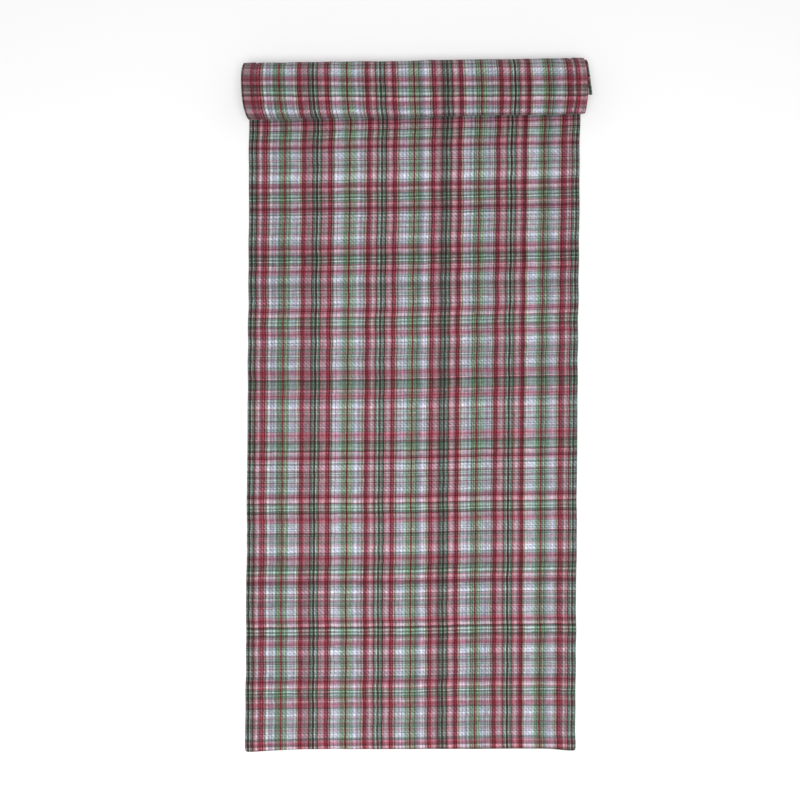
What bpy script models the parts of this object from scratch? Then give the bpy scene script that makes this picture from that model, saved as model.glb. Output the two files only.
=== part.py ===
"""Woven cotton table runner, laid flat with its far end rolled up on top of itself.

The runner is one rectangular cloth with a double-turned hem along all four edges. Its lower end
lies flat on the table. The far end passes under the roll, climbs its back, comes over the top and
winds inwards, so the outside of the roll is the underside of the cloth. The loose roll has sagged
to an oval, a little lower than it is deep.

Frame: metres, +Z up, origin at the centre of the base. X runs across the cloth and +Y runs from
the lower end towards the roll. A place along the cloth is given by its distance from the lower end.
"""

import math

import bmesh
import bpy
import numpy
from mathutils import Vector

# The cloth, as cut and hemmed
CLOTH_WIDTH = 0.3302
CLOTH_LENGTH = 0.892
CLOTH_THICKNESS = 0.0005
HEM_WIDTH = 0.0115
HEM_LAYERS = 3

# How it lies: flat from the lower end to the foot of the roll, where the roll touches the table,
# then wound in an oval. The half sizes are those of the first turn and shrink as it winds inwards.
LAID_LENGTH = 0.6543
ROLL_HALF_DEPTH = 0.0283
ROLL_HALF_HEIGHT = 0.02175
TURN_CLEARANCE = 0.0005

# The rows of sewing thread that close the hems, and the gap that touching pieces keep
SEAM_WIDTH = 0.0006
SEAM_HEIGHT = 0.0006
PIECE_GAP = 0.0003

SEGMENTS_PER_TURN = 64
MEASURING_STEP = math.radians(0.5)

# Sizes that follow from the ones above
HEM_THICKNESS = HEM_LAYERS * CLOTH_THICKNESS
TURN_PITCH = HEM_THICKNESS + TURN_CLEARANCE
ROLLED_LENGTH = CLOTH_LENGTH - LAID_LENGTH
ROLL_BACK = ROLL_HALF_DEPTH - TURN_PITCH / 4

LOWER_END_Y = -(LAID_LENGTH + ROLL_BACK) / 2
ROLL_AXIS_Y = LOWER_END_Y + LAID_LENGTH
HALF_WIDTH = CLOTH_WIDTH / 2

# Distances along the cloth where one piece gives way to the next
SEAM_START = HEM_WIDTH + PIECE_GAP
PANEL_START = SEAM_START + SEAM_WIDTH + PIECE_GAP
LAID_END = LAID_LENGTH - ROLL_HALF_DEPTH
ROLLED_START = LAID_END + PIECE_GAP
PANEL_END = CLOTH_LENGTH - PANEL_START
INNER_SEAM_START = PANEL_END + PIECE_GAP
INNER_HEM_START = CLOTH_LENGTH - HEM_WIDTH

# Distances from the cloth's side edge, inwards
SIDE_SEAM_EDGE = HEM_WIDTH + PIECE_GAP
PANEL_EDGE = SIDE_SEAM_EDGE + SEAM_WIDTH + PIECE_GAP

CLOTH_COLOUR = (0.26, 0.205, 0.213, 1.0)
HEM_COLOUR = (0.23, 0.17, 0.18, 1.0)
THREAD_COLOUR = (0.09, 0.08, 0.08, 1.0)
CLOTH_ROUGHNESS = 0.9
THREAD_ROUGHNESS = 0.7


def clear_scene():
    for obj in list(bpy.data.objects):
        bpy.data.objects.remove(obj, do_unlink=True)


def new_collection(name):
    collection = bpy.data.collections.new(name)
    bpy.context.scene.collection.children.link(collection)
    return collection


def new_material(name, colour, roughness):
    material = bpy.data.materials.new(name)
    material.use_nodes = True
    shader = material.node_tree.nodes["Principled BSDF"]
    shader.inputs["Base Color"].default_value = colour
    shader.inputs["Roughness"].default_value = roughness
    shader.inputs["Metallic"].default_value = 0.0
    material.diffuse_color = colour
    return material


def add_object(name, mesh, material, root):
    obj = bpy.data.objects.new(name, mesh)
    obj.data.materials.append(material)
    obj.parent = root
    root.users_collection[0].objects.link(obj)
    return obj


def wound_point(angle, lift=0.0):
    """(y, z) on the cloth's underside at this angle from the roll's foot, moved inwards by lift."""
    inward = TURN_PITCH * angle / math.tau + lift
    y = ROLL_AXIS_Y + (ROLL_HALF_DEPTH - inward) * math.sin(angle)
    z = ROLL_HALF_HEIGHT - (ROLL_HALF_HEIGHT - inward) * math.cos(angle)
    return y, z


def measured_winding():
    """Angles wound from the roll's foot, and the length of cloth that each has taken up."""
    angles = [0.0]
    lengths = [0.0]
    while lengths[-1] < ROLLED_LENGTH:
        angle = angles[-1] + MEASURING_STEP
        lengths.append(lengths[-1] + math.dist(wound_point(angles[-1]), wound_point(angle)))
        angles.append(angle)
    return angles, lengths


def wound_angle(distance):
    """Angle wound about the roll, from its foot, at this distance along the cloth."""
    return float(numpy.interp(distance - LAID_LENGTH, WOUND_LENGTHS, WOUND_ANGLES))


def cloth_path(start, end, lift=0.0):
    """Points (y, z) along the cloth's underside, with the same angles in every piece and turn."""
    first_angle = wound_angle(max(start, LAID_LENGTH))
    last_angle = wound_angle(end)
    step = math.tau / SEGMENTS_PER_TURN
    between = range(math.floor(first_angle / step) + 1, math.ceil(last_angle / step))
    angles = [first_angle, *(step * number for number in between), last_angle]
    flat_start = [(LOWER_END_Y + start, lift)] if start < LAID_LENGTH else []
    return flat_start + [wound_point(angle, lift) for angle in angles]


def add_strip(name, material, root, path, x_low, x_high, thickness):
    """A strip of cloth along the path: an open surface, thickened towards the face side."""
    shape = bmesh.new()
    row = [shape.verts.new((x_low, y, z)) for y, z in path]
    edges = [shape.edges.new(pair) for pair in zip(row, row[1:])]
    extruded = bmesh.ops.extrude_edge_only(shape, edges=edges)["geom"]
    moved = [item for item in extruded if isinstance(item, bmesh.types.BMVert)]
    bmesh.ops.translate(shape, verts=moved, vec=(x_high - x_low, 0.0, 0.0))
    turn_to_underside(shape, row)
    mesh = bpy.data.meshes.new(name)
    shape.to_mesh(mesh)
    shape.free()
    obj = add_object(name, mesh, material, root)
    thicken = obj.modifiers.new("Thickness", "SOLIDIFY")
    thicken.thickness = thickness
    thicken.offset = -1.0
    thicken.use_even_offset = True
    return obj


def turn_to_underside(shape, row):
    """Makes the strip's faces look the way the cloth's underside does, down where it lies flat."""
    bmesh.ops.recalc_face_normals(shape, faces=shape.faces)
    along = row[1].co - row[0].co
    underside = Vector((0.0, along.z, -along.y))
    first_face = row[0].link_faces[0]
    if first_face.normal.dot(underside) < 0:
        bmesh.ops.reverse_faces(shape, faces=shape.faces)


def add_slab(name, material, root, x_range, distance_range, z_range):
    """A flat rectangular piece; distance_range is measured along the cloth."""
    sizes = [high - low for low, high in (x_range, distance_range, z_range)]
    middle = [(high + low) / 2 for low, high in (x_range, distance_range, z_range)]
    shape = bmesh.new()
    bmesh.ops.create_cube(shape, size=1.0)
    bmesh.ops.scale(shape, vec=sizes, verts=shape.verts)
    mesh = bpy.data.meshes.new(name)
    shape.to_mesh(mesh)
    shape.free()
    obj = add_object(name, mesh, material, root)
    obj.location = (middle[0], LOWER_END_Y + middle[1], middle[2])
    return obj


def add_panel(cloth, root):
    """The single woven ground between the hems, in its laid and its rolled stretch."""
    x_range = (-HALF_WIDTH + PANEL_EDGE, HALF_WIDTH - PANEL_EDGE)
    add_slab("laid_panel", cloth, root, x_range, (PANEL_START, LAID_END), (0.0, CLOTH_THICKNESS))
    path = cloth_path(ROLLED_START, PANEL_END)
    add_strip("rolled_panel", cloth, root, path, *x_range, CLOTH_THICKNESS)


def add_side_hem(side, outer_x, inner_x, hem_cloth, root):
    """One long edge, turned under twice and three layers thick, laid and rolled."""
    x_range = (min(outer_x, inner_x), max(outer_x, inner_x))
    z_range = (0.0, HEM_THICKNESS)
    add_slab(f"laid_{side}_hem", hem_cloth, root, x_range, (PANEL_START, LAID_END), z_range)
    path = cloth_path(ROLLED_START, PANEL_END)
    add_strip(f"rolled_{side}_hem", hem_cloth, root, path, *x_range, HEM_THICKNESS)


def add_side_seam(side, outer_x, inner_x, thread, root):
    """The row of stitches beside a side hem, one thread from end to end."""
    x_range = (min(outer_x, inner_x), max(outer_x, inner_x))
    path = cloth_path(PANEL_START, PANEL_END, lift=PIECE_GAP)
    add_strip(f"{side}_hem_seam", thread, root, path, *x_range, SEAM_HEIGHT)


def add_lower_end(hem_cloth, thread, root):
    """The hem across the lower end and its row of stitches."""
    full_width = (-HALF_WIDTH, HALF_WIDTH)
    add_slab("lower_end_hem", hem_cloth, root, full_width, (0.0, HEM_WIDTH), (0.0, HEM_THICKNESS))
    along = (SEAM_START, SEAM_START + SEAM_WIDTH)
    lifted = (PIECE_GAP, PIECE_GAP + SEAM_HEIGHT)
    add_slab("lower_end_seam", thread, root, full_width, along, lifted)


def add_inner_end(hem_cloth, thread, root):
    """The hem across the end at the middle of the roll and its row of stitches."""
    path = cloth_path(INNER_SEAM_START, INNER_SEAM_START + SEAM_WIDTH, lift=PIECE_GAP)
    add_strip("inner_end_seam", thread, root, path, -HALF_WIDTH, HALF_WIDTH, SEAM_HEIGHT)
    path = cloth_path(INNER_HEM_START, CLOTH_LENGTH)
    add_strip("inner_end_hem", hem_cloth, root, path, -HALF_WIDTH, HALF_WIDTH, HEM_THICKNESS)


WOUND_ANGLES, WOUND_LENGTHS = measured_winding()


def build():
    clear_scene()
    runner = new_collection("table_runner")
    root = bpy.data.objects.new("table_runner_origin", None)
    runner.objects.link(root)

    cloth = new_material("woven_cloth", CLOTH_COLOUR, CLOTH_ROUGHNESS)
    hem_cloth = new_material("folded_hem_cloth", HEM_COLOUR, CLOTH_ROUGHNESS)
    thread = new_material("sewing_thread", THREAD_COLOUR, THREAD_ROUGHNESS)

    add_panel(cloth, root)
    for side, sign in (("left", -1), ("right", 1)):
        edge = sign * HALF_WIDTH
        add_side_hem(side, edge, edge - sign * HEM_WIDTH, hem_cloth, root)
        seam_edge = edge - sign * SIDE_SEAM_EDGE
        add_side_seam(side, seam_edge, seam_edge - sign * SEAM_WIDTH, thread, root)
    add_lower_end(hem_cloth, thread, root)
    add_inner_end(hem_cloth, thread, root)


build()
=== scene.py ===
"""Looks of the woven cotton table runner: the plaid cloth, its folded hems and its stitching.

One map takes a place on the flat cloth to a place in the room, along the laid stretch and round the
oval roll. Every piece is a patch of that map, so ground, hems and stitches stay together and the
plaid runs on through all of them. Lengths are metres unless a name ends in MM.
"""

import math

import bpy
import numpy as np
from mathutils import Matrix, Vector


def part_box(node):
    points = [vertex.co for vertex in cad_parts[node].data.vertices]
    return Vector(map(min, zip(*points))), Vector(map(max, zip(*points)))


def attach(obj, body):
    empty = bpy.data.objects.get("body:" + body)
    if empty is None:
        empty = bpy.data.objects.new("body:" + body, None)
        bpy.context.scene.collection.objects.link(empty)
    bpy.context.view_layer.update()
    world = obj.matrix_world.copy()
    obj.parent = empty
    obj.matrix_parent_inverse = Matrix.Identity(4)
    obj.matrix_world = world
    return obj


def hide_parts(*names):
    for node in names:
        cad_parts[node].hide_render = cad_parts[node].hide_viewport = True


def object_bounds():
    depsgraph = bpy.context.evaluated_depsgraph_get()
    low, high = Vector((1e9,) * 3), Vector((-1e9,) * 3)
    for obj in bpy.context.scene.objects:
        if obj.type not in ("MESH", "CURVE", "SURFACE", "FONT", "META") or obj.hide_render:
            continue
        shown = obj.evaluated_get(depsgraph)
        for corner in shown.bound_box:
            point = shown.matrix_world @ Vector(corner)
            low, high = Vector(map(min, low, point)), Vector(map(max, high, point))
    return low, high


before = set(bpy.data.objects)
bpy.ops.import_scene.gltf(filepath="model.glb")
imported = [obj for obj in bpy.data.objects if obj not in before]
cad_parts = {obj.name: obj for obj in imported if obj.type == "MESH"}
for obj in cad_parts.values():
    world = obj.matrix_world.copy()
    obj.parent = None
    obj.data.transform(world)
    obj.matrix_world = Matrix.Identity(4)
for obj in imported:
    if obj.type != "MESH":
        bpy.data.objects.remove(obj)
CAD_LOW, CAD_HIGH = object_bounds()

# Sizes taken from the CAD nodes
WIDTH = CAD_HIGH.x - CAD_LOW.x
LOWER_END_Y = CAD_LOW.y
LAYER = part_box("laid_panel")[1].z
HEM_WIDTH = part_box("laid_left_hem")[1].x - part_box("laid_left_hem")[0].x

# The runner as cut and hemmed, and how it is rolled
CLOTH_LENGTH = 0.886
BACK_REACH = 0.0294
ROLL_AXIS_Y = CAD_HIGH.y - BACK_REACH
FOOT = ROLL_AXIS_Y - LOWER_END_Y
ROLL_HALF_DEPTH = 0.0289
ROLL_HALF_HEIGHT_LEFT = 0.0234
ROLL_HALF_HEIGHT_MIDDLE = 0.0214
ROLL_HALF_HEIGHT_RIGHT = 0.0204
TURN_PITCH = 0.002

# How the cloth was pushed out of square: the slope of the roll, of the lower edge and of the weft
ROLL_SLOPE = 0.0270
LOWER_EDGE_SLOPE = 0.010
# (distance from the left edge, rise of the weft yarns) beside the lower end
WEFT_RISE_LOWER = ((0.009, -0.0037), (0.081, -0.0018), (0.165, -0.0003), (0.237, 0.0020), (0.320, 0.0022))
# (share of the laid stretch, how far the weft hangs back there towards the lower end)
WEFT_SAG = (
    (0.0, 0.0), (0.15, 0.0017), (0.5, 0.0023), (0.62, 0.0020), (0.75, 0.0010), (0.9, 0.0002),
    (1.0, 0.0),
)
# Share of that sag which the side edges have
SAG_SHARE_AT_EDGES = 0.4
# How much narrower the laid cloth has been drawn at its left and its right edge
WAIST_LEFT = 0.0006
WAIST_RIGHT = 0.0004
# How far the lower corners droop, how wide each droop is and how far up the cloth both reach
CORNER_DROOP_LEFT = 0.0022
CORNER_DROOP_RIGHT = 0.0017
DROOP_WIDTH_LEFT = 0.060
DROOP_WIDTH_RIGHT = 0.035
DROOP_REACH = 0.05
CORNER_RADIUS = 0.0028
# How far the rolled cloth flares out at its side edges, up the back and over the top
SIDE_FLARE = 0.0012
# (length wound from the roll's foot, sideways drift of the cloth)
SIDE_DRIFT = (
    (0.0, 0.0), (0.043, -0.0012), (0.083, -0.0002), (0.105, 0.0008), (0.115, 0.0016),
    (0.127, 0.0028), (0.165, 0.0022), (0.205, 0.0024), (0.222, 0.0040), (0.236, 0.0064),
)

# Cloth and hem build
CLOTH_THICKNESS = 0.86 * LAYER
HEM_RAMP = 0.0035
HEM_RAMP_START = 0.0003
CRINKLE_CLEARANCE = 0.0006
TURN_IN_END = 0.0015
# Crinkles: height and size of the wide, the soft and the fine waves, and of the hems' puckers
WIDE_HEIGHT = 0.00022
WIDE_SIZE = 0.075
SOFT_HEIGHT = 0.00012
SOFT_SIZE = 0.022
FINE_HEIGHT = 0.00007
FINE_SIZE = 0.012
PUCKER_HEIGHT = 0.00012
PUCKER_LENGTH = 0.0083
# Height and size of the slow waves in the side edges
EDGE_WAVE = 0.00018
EDGE_WAVE_SIZE = 0.05
# How far apart the mesh points are
LAID_GRID = 0.0024
ROLLED_GRID = 0.002
SIDE_HEM_GRID = 0.0025
END_HEM_GRID = 0.0022
FOLD_GRID = 0.0017
STITCH_LENGTH = 0.0024
THREAD_RADIUS = 0.00017
THREAD_SIDES = 6
STITCH_EDGE = 0.0100
SEAM_END = 0.001
# Where the pieces of the laid and of the rolled stretch meet, short of the roll's foot
SPLIT = FOOT - 0.012

# Plaid: half of the warp repeat and of the weft repeat, each mirrored about both of its ends
WARP_SETT_MM = (
    ("black", 1.1), ("white_line", 1.05), ("green", 1.45), ("wine", 1.4), ("pink", 1.6),
    ("light_pink", 2.3), ("deep_pink", 1.0), ("rose", 1.1), ("red", 0.5), ("deep_red", 1.2),
    ("red", 0.9), ("deep_red", 1.2), ("red", 0.4), ("cream", 1.05), ("leaf", 1.0),
    ("white", 6.65), ("pale_blue", 1.9), ("aqua", 1.5), ("olive", 1.2), ("sage", 1.1),
    ("olive", 1.0), ("sage", 0.9), ("red_line", 0.9),
)
WEFT_SETT_MM = (
    ("green", 0.9), ("white_line", 1.4), ("green", 1.0), ("wine", 1.0), ("mulberry", 1.3),
    ("light_pink", 2.9), ("dusty_pink", 1.1), ("rose", 1.0), ("red", 1.6), ("rose", 0.9),
    ("old_rose", 1.2), ("sage", 1.0), ("cream", 0.9), ("leaf", 1.1), ("white", 5.85),
    ("pale_pink", 1.7), ("mauve", 1.2), ("cream", 0.55), ("olive", 1.35), ("cream", 1.25),
    ("grey", 1.2), ("mauve", 0.57),
)
# One thin red weft line in each full repeat, beside the middle of it
RED_WEFT_AT_MM = 31.9
RED_WEFT_WIDTH_MM = 0.7
RED_WEFT_TINT = (0.85, 0.52, 0.60)
# Colours of the warp under a white weft, and what each weft colour does to the warp under it.
# Both started from or were corrected by averages measured over whole stripes, so they hold the
# stripes' colours as seen and not the dyes of the yarns.
WARP_COLOURS = {
    "black": (0.066, 0.070, 0.065),
    "white_line": (0.335, 0.375, 0.375),
    "green": (0.136, 0.204, 0.174),
    "wine": (0.125, 0.059, 0.056),
    "pink": (0.371, 0.215, 0.255),
    "light_pink": (0.425, 0.325, 0.378),
    "deep_pink": (0.362, 0.215, 0.252),
    "rose": (0.350, 0.184, 0.219),
    "red": (0.283, 0.093, 0.126),
    "deep_red": (0.207, 0.047, 0.071),
    "cream": (0.350, 0.290, 0.283),
    "leaf": (0.200, 0.216, 0.143),
    "white": (0.448, 0.451, 0.532),
    "pale_blue": (0.374, 0.428, 0.491),
    "aqua": (0.313, 0.394, 0.423),
    "olive": (0.160, 0.225, 0.150),
    "sage": (0.268, 0.317, 0.262),
    "red_line": (0.183, 0.057, 0.078),
}
WEFT_TINTS = {
    "green": (0.430, 0.540, 0.430),
    "white_line": (0.820, 0.900, 0.800),
    "wine": (0.400, 0.445, 0.360),
    "mulberry": (0.560, 0.330, 0.330),
    "light_pink": (0.965, 0.755, 0.760),
    "dusty_pink": (0.860, 0.570, 0.590),
    "old_rose": (0.780, 0.470, 0.510),
    "rose": (0.730, 0.390, 0.430),
    "red": (0.600, 0.260, 0.300),
    "sage": (0.700, 0.600, 0.580),
    "cream": (0.830, 0.850, 0.790),
    "leaf": (0.620, 0.670, 0.630),
    "white": (1.000, 1.000, 1.000),
    "pale_pink": (0.880, 0.720, 0.720),
    "mauve": (0.660, 0.520, 0.510),
    "olive": (0.640, 0.710, 0.630),
    "grey": (0.690, 0.680, 0.650),
}
YARN_PITCH_MM = 1.05
TWILL_CONTRAST = 0.28
# Heights of the yarns and of the crinkles, as shares of the bump's own height
YARN_HEIGHT = 0.12
CRINKLE_HEIGHT = 1.3
SLUB_LENGTH_MM = 9.0
# How far apart neighbouring yarns are in the noise that makes their slubs
SLUB_YARN_STEP = 0.37
# Where the first black warp stripe and the first green weft stripe lie
FIRST_WARP = 0.00205
FIRST_WEFT = -0.0046
# How the warp strays sideways: a steady slant, a bow over the laid stretch and a turn on the roll
WARP_WANDER = 0.0015
WARP_BOW = 0.0009
WARP_BOW_MIDDLE = -0.0002
WARP_TURN = ((0.0, 0.0007), (0.05, -0.0007))
INNER_WARP_SHIFT = 0.0016

# Camera, floor and light. The view is FRAME_WIDTH wide at the table.
CAMERA_PLACE = (-0.0124, 0.00745, 1.0)
CAMERA_TURN = math.radians(0.40)
SENSOR_WIDTH_MM = 36.0
FRAME_WIDTH = 0.8005
FLOOR_REACH = 4.0
WORLD_STRENGTH = 0.42
# (name, place, target, size, watts)
LIGHTS = (
    ("overhead", (0.0, -0.6, 2.4), (0.0, 0.1, 0.0), 1.6, 56.0),
    ("key", (-0.9, -1.5, 1.8), (0.0, 0.0, 0.0), 0.8, 11.0),
)


# ---------------------------------------------------------------- the shape of the lying cloth

def smooth(edge_low, edge_high, value):
    """0 below edge_low, 1 above edge_high and smooth between; the edges may be in either order."""
    t = np.clip((value - edge_low) / (edge_high - edge_low), 0.0, 1.0)
    return t * t * (3.0 - 2.0 * t)


def waves(u, s, size, seed, count=16):
    """A smooth random height field of about unit size, as a sum of waves in all directions."""
    rng = np.random.default_rng(seed)
    total = np.zeros(np.broadcast(u, s).shape)
    for _ in range(count):
        turn = rng.uniform(0.0, math.pi)
        length = size * rng.uniform(0.65, 1.7)
        phase = rng.uniform(0.0, math.tau)
        total += np.sin(math.tau * (u * math.cos(turn) + s * math.sin(turn)) / length + phase)
    return total / math.sqrt(count / 2)


def roll_half_height(u):
    """Half the roll's height: it sags more towards the right end."""
    across = (ROLL_HALF_HEIGHT_LEFT, ROLL_HALF_HEIGHT_MIDDLE, ROLL_HALF_HEIGHT_RIGHT)
    return np.interp(u, (0.0, WIDTH / 2, WIDTH), across)


def winding_table():
    """Angle wound at even steps of wound length, for a range of half heights."""
    heights = np.linspace(0.017, 0.026, 10)
    lengths = np.linspace(0.0, 0.26, 1041)
    angles = np.linspace(0.0, 1.8 * math.tau, 3000)
    inward = TURN_PITCH * angles / math.tau
    table = []
    for height in heights:
        y = (ROLL_HALF_DEPTH - inward) * np.sin(angles)
        z = (height - inward) * np.cos(angles)
        wound = np.concatenate(([0.0], np.cumsum(np.hypot(np.diff(y), np.diff(z)))))
        table.append(np.interp(lengths, wound, angles))
    return heights, lengths, np.array(table)


HEIGHTS, LENGTHS, ANGLES = winding_table()


def wound_angle(length, half_height):
    """Angle from the roll's foot at this wound length, between the rows of the winding table."""
    row = (half_height - HEIGHTS[0]) / (HEIGHTS[1] - HEIGHTS[0])
    row_low = np.clip(row.astype(int), 0, len(HEIGHTS) - 2)
    column = length / (LENGTHS[1] - LENGTHS[0])
    column_low = np.clip(column.astype(int), 0, len(LENGTHS) - 2)
    row_share, column_share = row - row_low, column - column_low
    low = ANGLES[row_low, column_low] * (1 - column_share)
    low = low + ANGLES[row_low, column_low + 1] * column_share
    high = ANGLES[row_low + 1, column_low] * (1 - column_share)
    high = high + ANGLES[row_low + 1, column_low + 1] * column_share
    return low * (1 - row_share) + high * row_share


def lean(u, s):
    """How far the crosswise lines have moved towards the roll at this place."""
    middle = u - WIDTH / 2
    left_droop = CORNER_DROOP_LEFT * smooth(DROOP_WIDTH_LEFT, 0.0, u)
    right_droop = CORNER_DROOP_RIGHT * smooth(DROOP_WIDTH_RIGHT, 0.0, WIDTH - u)
    droop = left_droop + right_droop
    at_end = LOWER_EDGE_SLOPE * middle - droop * smooth(DROOP_REACH, 0.0, s)
    at_roll = ROLL_SLOPE * middle
    share = np.clip(s / FOOT, 0.0, 1.0)
    return at_end * (1.0 - share) + at_roll * share


def weft_rise(u, s):
    """How far the weft yarns have moved towards the roll at this place."""
    middle = u - WIDTH / 2
    at_end = np.interp(u, *zip(*WEFT_RISE_LOWER))
    at_roll = ROLL_SLOPE * middle
    share = np.clip(s / FOOT, 0.0, 1.0)
    across = np.clip(u / WIDTH, 0.0, 1.0)
    most_sag = np.interp(share, *zip(*WEFT_SAG))
    sag = most_sag * (SAG_SHARE_AT_EDGES + (1.0 - SAG_SHARE_AT_EDGES) * np.sin(math.pi * across))
    return at_end * (1.0 - share) + at_roll * share - sag


def drift(u, s):
    """Sideways shift of the cloth as it winds, with a waist in the laid stretch and flared ends."""
    wound = np.maximum(s - FOOT, 0.0)
    shift = np.interp(wound, *zip(*SIDE_DRIFT))
    flare = smooth(0.045, 0.07, wound) * smooth(0.12, 0.09, wound)
    flare = flare * (smooth(0.03, 0.0, WIDTH - u) - smooth(0.03, 0.0, u))
    left = WAIST_LEFT * smooth(0.64, 0.54, s)
    right = WAIST_RIGHT * smooth(0.52, 0.38, s) * smooth(0.0, 0.03, s)
    across = u / WIDTH
    wave = EDGE_WAVE * waves(0.0 * u, s, EDGE_WAVE_SIZE, 5, 7)
    return shift + SIDE_FLARE * flare + left * (1.0 - across) - right * across + wave


def wrinkle(u, s):
    """Height of the cloth's own crinkles above where it would lie if it were ironed flat."""
    edge = np.minimum(u, WIDTH - u)
    wide = WIDE_HEIGHT * waves(u, s, WIDE_SIZE, 1)
    soft = SOFT_HEIGHT * waves(u, s, SOFT_SIZE, 2)
    fine = FINE_HEIGHT * np.abs(waves(u, s, FINE_SIZE, 3))
    uneven_and_twill_shade = 2.0 * waves(0.0 * u, s, 0.03, 4, 5)
    pucker = PUCKER_HEIGHT * np.sin(math.tau * s / PUCKER_LENGTH + uneven_and_twill_shade)
    pucker = pucker * smooth(HEM_WIDTH + 0.012, HEM_WIDTH - 0.002, edge) * smooth(0.0, 0.004, edge)
    return CRINKLE_CLEARANCE + wide + soft + fine + pucker


def round_corner(near_side, near_end):
    """Pulls the points of a square corner in onto a round one."""
    side = np.maximum(CORNER_RADIUS - near_side, 0.0)
    end = np.maximum(CORNER_RADIUS - near_end, 0.0)
    reach = np.hypot(side, end)
    scale = np.where(reach > 0.0, np.maximum(side, end) / np.maximum(reach, 1e-9), 1.0)
    return side * (1.0 - scale), end * (1.0 - scale)


def place(u, s, h):
    """Where the cloth lies: u from its left edge, s from its lower end, h in from its underside."""
    u, s, h = np.broadcast_arrays(np.asarray(u, float), np.asarray(s, float), np.asarray(h, float))
    left_in, left_up = round_corner(u, s)
    right_in, right_up = round_corner(WIDTH - u, s)
    wound = np.maximum(s - FOOT, 0.0)
    half_height = roll_half_height(u)
    angle = wound_angle(wound, half_height)
    raised = h + np.maximum(wrinkle(u, s), 0.0)
    inward = TURN_PITCH * angle / math.tau + raised
    rolled_y = ROLL_AXIS_Y + (ROLL_HALF_DEPTH - inward) * np.sin(angle)
    rolled_z = half_height - (half_height - inward) * np.cos(angle)
    laid = s < FOOT
    x = u - WIDTH / 2 + drift(u, s) + left_in - right_in
    y = np.where(laid, LOWER_END_Y + s + left_up + right_up, rolled_y) + lean(u, s)
    z = np.where(laid, raised, rolled_z)
    return np.stack((x, y, z), axis=-1)


def side_cover(u):
    """1 over the side hems, 0 on the single ground, with the ramp that the stiff cloth makes."""
    edge = np.minimum(u, WIDTH - u)
    return smooth(HEM_WIDTH + HEM_RAMP, HEM_WIDTH - HEM_RAMP_START, edge)


def end_cover(s):
    """1 over the end hems, 0 on the single ground, with the same ramp."""
    edge = np.minimum(s, CLOTH_LENGTH - s)
    return smooth(HEM_WIDTH + HEM_RAMP, HEM_WIDTH - HEM_RAMP_START, edge)


def ground_height(u, s):
    """Middle of the ground cloth above the underside of whatever hems lie under it."""
    side, end = side_cover(u), end_cover(s)
    pulled_in = 0.5 * smooth(0.0, 0.012, s - FOOT) * (1.0 - side)
    return LAYER * (0.5 + 2.0 * side + 2.0 * end + pulled_in)


def pattern_place(u, s):
    """Where on the plaid a place on the cloth is, in millimetres from the first stripes."""
    wound = np.maximum(s - FOOT, 0.0)
    bow = WARP_BOW * ((s - FOOT / 2) / (FOOT / 2)) ** 2 + WARP_BOW_MIDDLE
    turn = np.interp(wound, *zip(*WARP_TURN))
    warp_start = FIRST_WARP + WARP_WANDER * s + INNER_WARP_SHIFT * smooth(0.13, 0.24, wound)
    warp_start = warp_start + np.where(s < FOOT, bow, turn)
    weft = s + lean(u, s) - weft_rise(u, s) - FIRST_WEFT
    return (u - warp_start) * 1000.0, weft * 1000.0


# ---------------------------------------------------------------- mesh pieces

def grid_object(name, points, pattern, material):
    """A smooth mesh from a grid of points, with its plaid coordinates and a plain unwrapping."""
    rows, columns = points.shape[:2]
    index = np.arange(rows * columns).reshape(rows, columns)
    corners = (index[:-1, :-1], index[:-1, 1:], index[1:, 1:], index[1:, :-1])
    quads = np.stack(corners, axis=-1).reshape(-1, 4)
    mesh = bpy.data.meshes.new(name)
    mesh.from_pydata(points.reshape(-1, 3).tolist(), [], quads.tolist())
    across, along = np.meshgrid(np.linspace(0, 1, columns), np.linspace(0, 1, rows))
    unwrapped = np.stack((across, along), axis=-1)
    for layer_name, grid in (("OFBake", unwrapped), ("Plaid", pattern)):
        layer = mesh.uv_layers.new(name=layer_name)
        layer.data.foreach_set("uv", grid.reshape(-1, 2)[quads.ravel()].astype(np.float32).ravel())
    mesh.shade_smooth()
    obj = bpy.data.objects.new(name, mesh)
    bpy.context.scene.collection.objects.link(obj)
    obj.data.materials.append(material)
    return obj


def thicken(obj, thickness):
    """Gives a sheet its thickness, half to each side of the surface."""
    modifier = obj.modifiers.new("Thickness", "SOLIDIFY")
    modifier.thickness = thickness
    modifier.offset = 0.0
    modifier.use_even_offset = False
    return obj


def steps(start, end, size):
    """Evenly spaced places from start to end, about size apart."""
    return np.linspace(start, end, max(2, int(round(abs(end - start) / size)) + 1))


def ground_piece(name, start, end, size, material):
    """A stretch of the ground cloth, from fold to fold across the runner."""
    across = steps(LAYER, WIDTH - LAYER, size)
    u, s = np.meshgrid(across, steps(start, end, size))
    points = place(u, s, ground_height(u, s))
    pattern = np.stack(pattern_place(u, s), axis=-1)
    return thicken(grid_object(name, points, pattern, material), CLOTH_THICKNESS)


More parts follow.
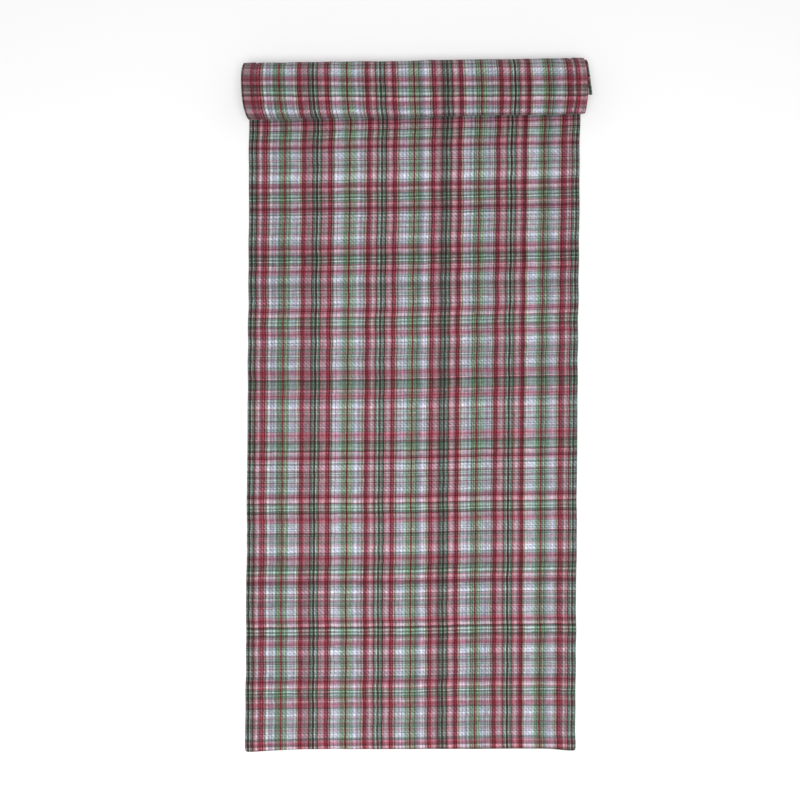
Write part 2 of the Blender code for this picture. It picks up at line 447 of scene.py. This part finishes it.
def fold_profile():
    """A double turned hem seen end on: distances in from its outside, heights and cloth used.

    Heights run from 0 at the top of the fold's own stack down to minus the stack's thickness."""
    turns = []
    for angle in np.linspace(0.0, math.pi, 9):
        turns.append((LAYER - LAYER * math.sin(angle), (math.cos(angle) - 1.0) / 2.0))
    for distance in steps(LAYER, HEM_WIDTH - LAYER / 2, FOLD_GRID)[1:]:
        turns.append((distance, -1.0))
    for angle in np.linspace(0.0, math.pi, 6)[1:]:
        distance = HEM_WIDTH - LAYER / 2 + LAYER / 2 * math.sin(angle)
        turns.append((distance, -1.0 + (1.0 - math.cos(angle)) / 4.0))
    for distance in steps(HEM_WIDTH - LAYER / 2, TURN_IN_END, FOLD_GRID)[1:]:
        turns.append((distance, -0.5))
    profile = np.array(turns)
    stack = 2.0 * LAYER
    used = np.hypot(np.diff(profile[:, 0]), np.diff(profile[:, 1]) * stack)
    return profile[:, 0], profile[:, 1] * stack, np.concatenate(([0.0], np.cumsum(used)))


def side_hem(name, side, start, end, material):
    """The folded edge beside the ground: the cloth turns under, back out and in again."""
    inset, down, used = fold_profile()
    u_line = inset if side == "left" else WIDTH - inset
    used_u = LAYER - used if side == "left" else WIDTH - LAYER + used
    s_line = steps(start, end, SIDE_HEM_GRID)
    u, s = np.meshgrid(u_line, s_line)
    used_u = np.broadcast_to(used_u, u.shape)
    top = LAYER * (2.5 + 2.0 * end_cover(s))
    points = place(u, s, top + down[None, :])
    pattern = np.stack(pattern_place(used_u, s), axis=-1)
    piece = thicken(grid_object(name, points, pattern, material), CLOTH_THICKNESS)
    return piece


def end_hem(name, at_lower_end, material):
    """The hem across one end, folded over the side hems at its two corners."""
    inset, down, used = fold_profile()
    s_line = inset if at_lower_end else CLOTH_LENGTH - inset
    used_s = LAYER - used if at_lower_end else CLOTH_LENGTH - LAYER + used
    u_line = steps(0.0, WIDTH, END_HEM_GRID)
    u, s = np.meshgrid(u_line, s_line)
    used_s = np.broadcast_to(used_s[:, None], u.shape)
    stack = 2.0 + 2.0 * side_cover(u)
    height = LAYER * (0.5 + stack) + down[:, None] * stack / 2.0
    points = place(u, s, height)
    pattern = np.stack(pattern_place(u, used_s), axis=-1)
    piece = thicken(grid_object(name, points, pattern, material), CLOTH_THICKNESS)
    return piece


def thread_run(along, across_at, lengthwise, underside):
    """Centre line of one row of stitches on one face, dipping into the cloth at each needle hole."""
    fixed = np.full_like(along, across_at)
    u, s = (fixed, along) if lengthwise else (along, fixed)
    dip = np.abs(np.sin(math.pi * along / STITCH_LENGTH)) ** 0.6
    top = ground_height(u, s) + CLOTH_THICKNESS / 2
    if underside:
        showing = 0.2 + 0.8 * smooth(0.0, 0.01, s - FOOT)
        return place(u, s, THREAD_RADIUS * (1.3 - 1.5 * dip * showing))
    return place(u, s, top + THREAD_RADIUS * (1.3 * dip - 0.9))


def seam(name, across_at, start, end, lengthwise, material):
    """The two threads of one row of lockstitch, as one piece."""
    along = steps(start, end, STITCH_LENGTH / 6)
    around = np.linspace(0.0, math.tau, THREAD_SIDES, endpoint=False)[None, :, None]
    vertices, faces = [], []
    for underside in (False, True):
        line = thread_run(along, across_at, lengthwise, underside)
        ahead = np.gradient(line, axis=0)
        ahead /= np.linalg.norm(ahead, axis=1, keepdims=True)
        aside = np.array((1.0, 0.0, 0.0)) if lengthwise else np.array((0.0, 1.0, 0.0))
        up = np.cross(ahead, aside)
        up /= np.linalg.norm(up, axis=1, keepdims=True)
        aside = np.cross(up, ahead)
        ring = np.cos(around) * aside[:, None] + np.sin(around) * up[:, None]
        first = sum(len(part) for part in vertices)
        vertices.append((line[:, None] + THREAD_RADIUS * ring).reshape(-1, 3))
        index = first + np.arange(len(line) * THREAD_SIDES).reshape(len(line), THREAD_SIDES)
        turned = np.roll(index, -1, axis=1)
        quads = np.stack((index[:-1], index[1:], turned[1:], turned[:-1]), axis=-1)
        faces.extend(quads.reshape(-1, 4).tolist())
        faces.append(index[0].tolist())
        faces.append(index[-1, ::-1].tolist())
    mesh = bpy.data.meshes.new(name)
    mesh.from_pydata(np.concatenate(vertices).tolist(), [], faces)
    mesh.shade_smooth()
    obj = bpy.data.objects.new(name, mesh)
    bpy.context.scene.collection.objects.link(obj)
    obj.data.materials.append(material)
    return obj


# ---------------------------------------------------------------- materials

class Nodes:
    """Short names for building a material's node tree."""

    def __init__(self, name):
        self.material = bpy.data.materials.new(name)
        self.material.use_nodes = True
        self.tree = self.material.node_tree
        self.shader = self.tree.nodes["Principled BSDF"]

    def add(self, kind, **settings):
        node = self.tree.nodes.new(kind)
        for key, value in settings.items():
            setattr(node, key, value)
        return node

    def link(self, source, target):
        self.tree.links.new(source, target)

    def put(self, value, socket):
        """A link if value is another node's output, else the socket's own value."""
        if isinstance(value, bpy.types.NodeSocket):
            self.link(value, socket)
        else:
            socket.default_value = value

    def math(self, operation, first, second=0.0, third=0.0):
        node = self.add("ShaderNodeMath", operation=operation)
        for socket, value in zip(node.inputs, (first, second, third)):
            self.put(value, socket)
        return node.outputs[0]

    def vector(self, operation, first, second=(0.0, 0.0, 0.0)):
        node = self.add("ShaderNodeVectorMath", operation=operation)
        self.put(first, node.inputs[0])
        self.put(second, node.inputs[1])
        return node.outputs[0]

    def scaled(self, vector, factor):
        node = self.add("ShaderNodeVectorMath", operation="SCALE")
        self.put(vector, node.inputs[0])
        self.put(factor, node.inputs["Scale"])
        return node.outputs[0]

    def combine(self, x, y, z=0.0):
        node = self.add("ShaderNodeCombineXYZ")
        for socket, value in zip(node.inputs, (x, y, z)):
            self.put(value, socket)
        return node.outputs[0]

    def noise(self, vector, scale, detail=2.0, roughness=0.5):
        node = self.add("ShaderNodeTexNoise")
        self.put(vector, node.inputs["Vector"])
        self.put(scale, node.inputs["Scale"])
        self.put(detail, node.inputs["Detail"])
        self.put(roughness, node.inputs["Roughness"])
        return node.outputs["Fac"]

    def random(self, vector):
        node = self.add("ShaderNodeTexWhiteNoise", noise_dimensions="2D")
        self.put(vector, node.inputs["Vector"])
        return node.outputs["Value"]

    def spread(self, value, low, high):
        """value from 0 to 1 mapped to low to high."""
        node = self.add("ShaderNodeMapRange")
        self.put(value, node.inputs["Value"])
        self.put(low, node.inputs["To Min"])
        self.put(high, node.inputs["To Max"])
        return node.outputs[0]


def stripes(nodes, coordinate, sett, colours):
    """The colours of one set of yarns at this coordinate, from a mirrored list of stripes."""
    half_repeat = sum(width for _, width in sett)
    folded = nodes.math("PINGPONG", coordinate, half_repeat)
    ramp = nodes.add("ShaderNodeValToRGB")
    ramp.color_ramp.interpolation = "CONSTANT"
    nodes.link(nodes.math("DIVIDE", folded, half_repeat), ramp.inputs["Fac"])
    elements = ramp.color_ramp.elements
    elements.remove(elements[1])
    start = 0.0
    for number, (colour, width) in enumerate(sett):
        element = elements[0] if number == 0 else elements.new(start / half_repeat)
        element.position = start / half_repeat
        element.color = (*colours[colour], 1.0)
        start += width
    return ramp.outputs["Color"]


def woven_material(name):
    """Plaid cotton: coloured yarns crossing in a twill, each a little uneven."""
    nodes = Nodes(name)
    plaid = nodes.add("ShaderNodeUVMap", uv_map="Plaid")
    apart = nodes.add("ShaderNodeSeparateXYZ")
    nodes.link(plaid.outputs["UV"], apart.inputs[0])
    # Yarns wander a little from straight
    wander = nodes.add("ShaderNodeTexNoise")
    nodes.link(plaid.outputs["UV"], wander.inputs["Vector"])
    wander.inputs["Scale"].default_value = 0.11
    wander.inputs["Detail"].default_value = 3.0
    sway = nodes.scaled(nodes.vector("SUBTRACT", wander.outputs["Color"], (0.5, 0.5, 0.5)), 1.3)
    sway_apart = nodes.add("ShaderNodeSeparateXYZ")
    nodes.link(sway, sway_apart.inputs[0])
    u = nodes.math("ADD", apart.outputs["X"], sway_apart.outputs["X"])
    v = nodes.math("ADD", apart.outputs["Y"], sway_apart.outputs["Y"])

    warp = stripes(nodes, u, WARP_SETT_MM, WARP_COLOURS)
    weft = stripes(nodes, v, WEFT_SETT_MM, WEFT_TINTS)
    repeat = 2.0 * sum(width for _, width in WEFT_SETT_MM)
    from_line = nodes.math("PINGPONG", nodes.math("SUBTRACT", v, RED_WEFT_AT_MM), repeat / 2.0)
    on_line = nodes.math("LESS_THAN", from_line, RED_WEFT_WIDTH_MM / 2.0)
    line_tint = nodes.add("ShaderNodeMix", data_type="RGBA", blend_type="MULTIPLY")
    nodes.link(on_line, line_tint.inputs["Factor"])
    nodes.link(weft, line_tint.inputs["A"])
    line_tint.inputs["B"].default_value = (*RED_WEFT_TINT, 1.0)
    weft = line_tint.outputs["Result"]
    crossed = nodes.vector("MULTIPLY", warp, weft)

    # Which yarn is on top, in a two by two twill
    warp_number = nodes.math("DIVIDE", u, YARN_PITCH_MM)
    weft_number = nodes.math("DIVIDE", v, YARN_PITCH_MM)
    warp_yarn = nodes.math("FLOOR", warp_number)
    weft_yarn = nodes.math("FLOOR", weft_number)
    counted = nodes.math("DIVIDE", nodes.math("ADD", warp_yarn, weft_yarn), 4.0)
    warp_up = nodes.math("LESS_THAN", nodes.math("FRACT", counted), 0.5)
    signed = nodes.math("MULTIPLY_ADD", warp_up, 2.0, -1.0)
    towards_top = nodes.math("MULTIPLY", signed, TWILL_CONTRAST)
    contrast = nodes.scaled(nodes.vector("SUBTRACT", warp, weft), towards_top)
    shown = nodes.vector("MULTIPLY", crossed, nodes.vector("ADD", contrast, (1.0, 1.0, 1.0)))

    # Dark and light yarns, thick and thin places along them, mottled patches lighter and darker at
    # random, and painted light and shade on the twill: cells with the warp on top a little lighter, cells
    # with the weft on top a little darker
    warp_apart = nodes.math("MULTIPLY", warp_yarn, SLUB_YARN_STEP)
    weft_apart = nodes.math("MULTIPLY", weft_yarn, SLUB_YARN_STEP)
    along_warp = nodes.math("DIVIDE", v, SLUB_LENGTH_MM)
    along_weft = nodes.math("DIVIDE", u, SLUB_LENGTH_MM)
    warp_slub = nodes.noise(nodes.combine(warp_apart, along_warp), 1.0)
    weft_slub = nodes.noise(nodes.combine(along_weft, weft_apart), 1.0)
    patches = nodes.noise(plaid.outputs["UV"], 0.22, 4.0, 0.65)
    uneven_and_twill_shade = (
        nodes.spread(nodes.random(nodes.combine(warp_yarn, 0.5)), 0.62, 1.38),
        nodes.spread(nodes.random(nodes.combine(0.5, weft_yarn)), 0.62, 1.38),
        nodes.spread(nodes.random(nodes.combine(warp_yarn, weft_yarn)), 0.90, 1.10),
        nodes.spread(warp_slub, 0.75, 1.25),
        nodes.spread(weft_slub, 0.75, 1.25),
        nodes.spread(patches, 0.76, 1.24),
        # painted light and shade: warp-on-top cells lighter, weft-on-top cells darker
        nodes.spread(warp_up, 0.96, 1.04),
    )
    level = 1.0
    for part in uneven_and_twill_shade:
        level = nodes.math("MULTIPLY", level, part)
    nodes.link(nodes.scaled(shown, level), nodes.shader.inputs["Base Color"])

    # Yarns stand up as rounded ridges; crinkles are larger and softer
    warp_round = nodes.math("SINE", nodes.math("MULTIPLY", nodes.math("FRACT", warp_number), math.pi))
    weft_round = nodes.math("SINE", nodes.math("MULTIPLY", nodes.math("FRACT", weft_number), math.pi))
    yarn = nodes.add("ShaderNodeMix")
    nodes.link(warp_up, yarn.inputs["Factor"])
    nodes.link(weft_round, yarn.inputs["A"])
    nodes.link(warp_round, yarn.inputs["B"])
    crinkle = nodes.noise(nodes.combine(u, v), 0.3, 5.0, 0.6)
    yarn_height = nodes.math("MULTIPLY", yarn.outputs["Result"], YARN_HEIGHT)
    crinkle_height = nodes.math("MULTIPLY", crinkle, CRINKLE_HEIGHT)
    height = nodes.math("ADD", yarn_height, crinkle_height)
    bump = nodes.add("ShaderNodeBump")
    bump.inputs["Strength"].default_value = 0.8
    bump.inputs["Distance"].default_value = 0.001
    nodes.link(height, bump.inputs["Height"])
    nodes.link(bump.outputs["Normal"], nodes.shader.inputs["Normal"])

    fibres = nodes.noise(nodes.combine(u, v), 2.5, 2.0)
    nodes.link(nodes.spread(fibres, 0.82, 0.98), nodes.shader.inputs["Roughness"])
    nodes.shader.inputs["Specular IOR Level"].default_value = 0.12
    nodes.shader.inputs["Sheen Weight"].default_value = 0.04
    nodes.shader.inputs["Sheen Roughness"].default_value = 0.5
    return nodes.material


def thread_material(name):
    """Dark twisted sewing cotton."""
    nodes = Nodes(name)
    place_at = nodes.add("ShaderNodeTexCoord")
    twist = nodes.add("ShaderNodeTexWave", wave_type="BANDS", bands_direction="DIAGONAL")
    nodes.link(place_at.outputs["Object"], twist.inputs["Vector"])
    twist.inputs["Scale"].default_value = 900.0
    twist.inputs["Distortion"].default_value = 1.5
    ramp = nodes.add("ShaderNodeValToRGB")
    nodes.link(twist.outputs["Fac"], ramp.inputs["Fac"])
    ramp.color_ramp.elements[0].color = (0.030, 0.026, 0.028, 1.0)
    ramp.color_ramp.elements[1].color = (0.110, 0.090, 0.095, 1.0)
    nodes.link(ramp.outputs["Color"], nodes.shader.inputs["Base Color"])
    nodes.link(nodes.spread(twist.outputs["Fac"], 0.75, 0.6), nodes.shader.inputs["Roughness"])
    bump = nodes.add("ShaderNodeBump")
    bump.inputs["Strength"].default_value = 0.5
    bump.inputs["Distance"].default_value = 0.0001
    nodes.link(twist.outputs["Fac"], bump.inputs["Height"])
    nodes.link(bump.outputs["Normal"], nodes.shader.inputs["Normal"])
    return nodes.material


def floor_material(name):
    """Matt white paper."""
    nodes = Nodes(name)
    grain = nodes.noise(nodes.add("ShaderNodeTexCoord").outputs["Object"], 60.0, 3.0)
    nodes.link(nodes.spread(grain, 0.88, 0.95), nodes.shader.inputs["Roughness"])
    nodes.shader.inputs["Base Color"].default_value = (0.96, 0.96, 0.96, 1.0)
    nodes.shader.inputs["Specular IOR Level"].default_value = 0.1
    return nodes.material


# ---------------------------------------------------------------- camera, floor and light

def add_camera():
    camera = bpy.data.cameras.new("camera")
    camera.sensor_width = SENSOR_WIDTH_MM
    camera.lens = SENSOR_WIDTH_MM * CAMERA_PLACE[2] / FRAME_WIDTH
    camera.clip_start = 0.05
    obj = bpy.data.objects.new("camera", camera)
    obj.location = CAMERA_PLACE
    obj.rotation_euler = (0.0, 0.0, CAMERA_TURN)
    bpy.context.scene.collection.objects.link(obj)
    bpy.context.scene.camera = obj


def add_floor():
    mesh = bpy.data.meshes.new("floor")
    corners = [(x * FLOOR_REACH, y * FLOOR_REACH, 0) for x, y in ((-1, -1), (1, -1), (1, 1), (-1, 1))]
    mesh.from_pydata(corners, [], [(0, 1, 2, 3)])
    floor = bpy.data.objects.new("floor", mesh)
    floor.data.materials.append(floor_material("white_paper"))
    bpy.context.scene.collection.objects.link(floor)


def add_area_light(name, location, target, size, energy):
    light = bpy.data.lights.new(name, "AREA")
    light.shape = "DISK"
    light.size = size
    light.energy = energy
    obj = bpy.data.objects.new(name, light)
    obj.location = location
    x, y, z = np.array(target) - np.array(location)
    obj.rotation_euler = (math.atan2(math.hypot(x, y), -z), 0.0, math.atan2(x, -y))
    bpy.context.scene.collection.objects.link(obj)


def add_light():
    world = bpy.data.worlds.new("studio")
    world.use_nodes = True
    background = world.node_tree.nodes["Background"]
    background.inputs["Color"].default_value = (1.0, 1.0, 1.0, 1.0)
    background.inputs["Strength"].default_value = WORLD_STRENGTH
    bpy.context.scene.world = world
    for light in LIGHTS:
        add_area_light(*light)
    bpy.context.scene.view_settings.view_transform = "Standard"


def add_ground(cloth):
    """The single woven ground, in its laid and its rolled stretch."""
    laid = ground_piece("laid_cloth", LAYER, SPLIT, LAID_GRID, cloth)
    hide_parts("laid_panel")
    rolled = ground_piece("rolled_cloth", SPLIT, CLOTH_LENGTH - LAYER, ROLLED_GRID, cloth)
    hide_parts("rolled_panel")
    return [(laid, "woven_cloth"), (rolled, "woven_cloth")]


def add_side(side, cloth, thread):
    """One long edge: its folded hem, laid and rolled, and its row of stitches."""
    laid = side_hem(f"{side}_hem_laid_fold", side, LAYER, SPLIT, cloth)
    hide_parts(f"laid_{side}_hem")
    name = f"{side}_hem_rolled_fold"
    rolled = side_hem(name, side, SPLIT, CLOTH_LENGTH - LAYER, cloth)
    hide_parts(f"rolled_{side}_hem")
    across_at = STITCH_EDGE if side == "left" else WIDTH - STITCH_EDGE
    name = f"{side}_hem_stitches"
    stitches = seam(name, across_at, SEAM_END, CLOTH_LENGTH - SEAM_END, True, thread)
    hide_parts(f"{side}_hem_seam")
    return [(laid, "folded_hem_cloth"), (rolled, "folded_hem_cloth"), (stitches, "sewing_thread")]


def add_end(name, at_lower_end, cloth, thread):
    """One short edge: its folded hem and its row of stitches."""
    hem = end_hem(f"{name}_hem_fold", at_lower_end, cloth)
    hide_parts(f"{name}_hem")
    across_at = STITCH_EDGE if at_lower_end else CLOTH_LENGTH - STITCH_EDGE
    stitches = seam(f"{name}_stitches", across_at, SEAM_END, WIDTH - SEAM_END, False, thread)
    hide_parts(f"{name}_seam")
    return [(hem, "folded_hem_cloth"), (stitches, "sewing_thread")]


def main():
    add_camera()
    add_floor()
    add_light()
    cloth = woven_material("plaid_cotton")
    thread = thread_material("sewing_cotton")
    pieces = add_ground(cloth)
    for side in ("left", "right"):
        pieces += add_side(side, cloth, thread)
    pieces += add_end("lower_end", True, cloth, thread)
    pieces += add_end("inner_end", False, cloth, thread)
    for piece, slot in pieces:
        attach(piece, "root")


main()
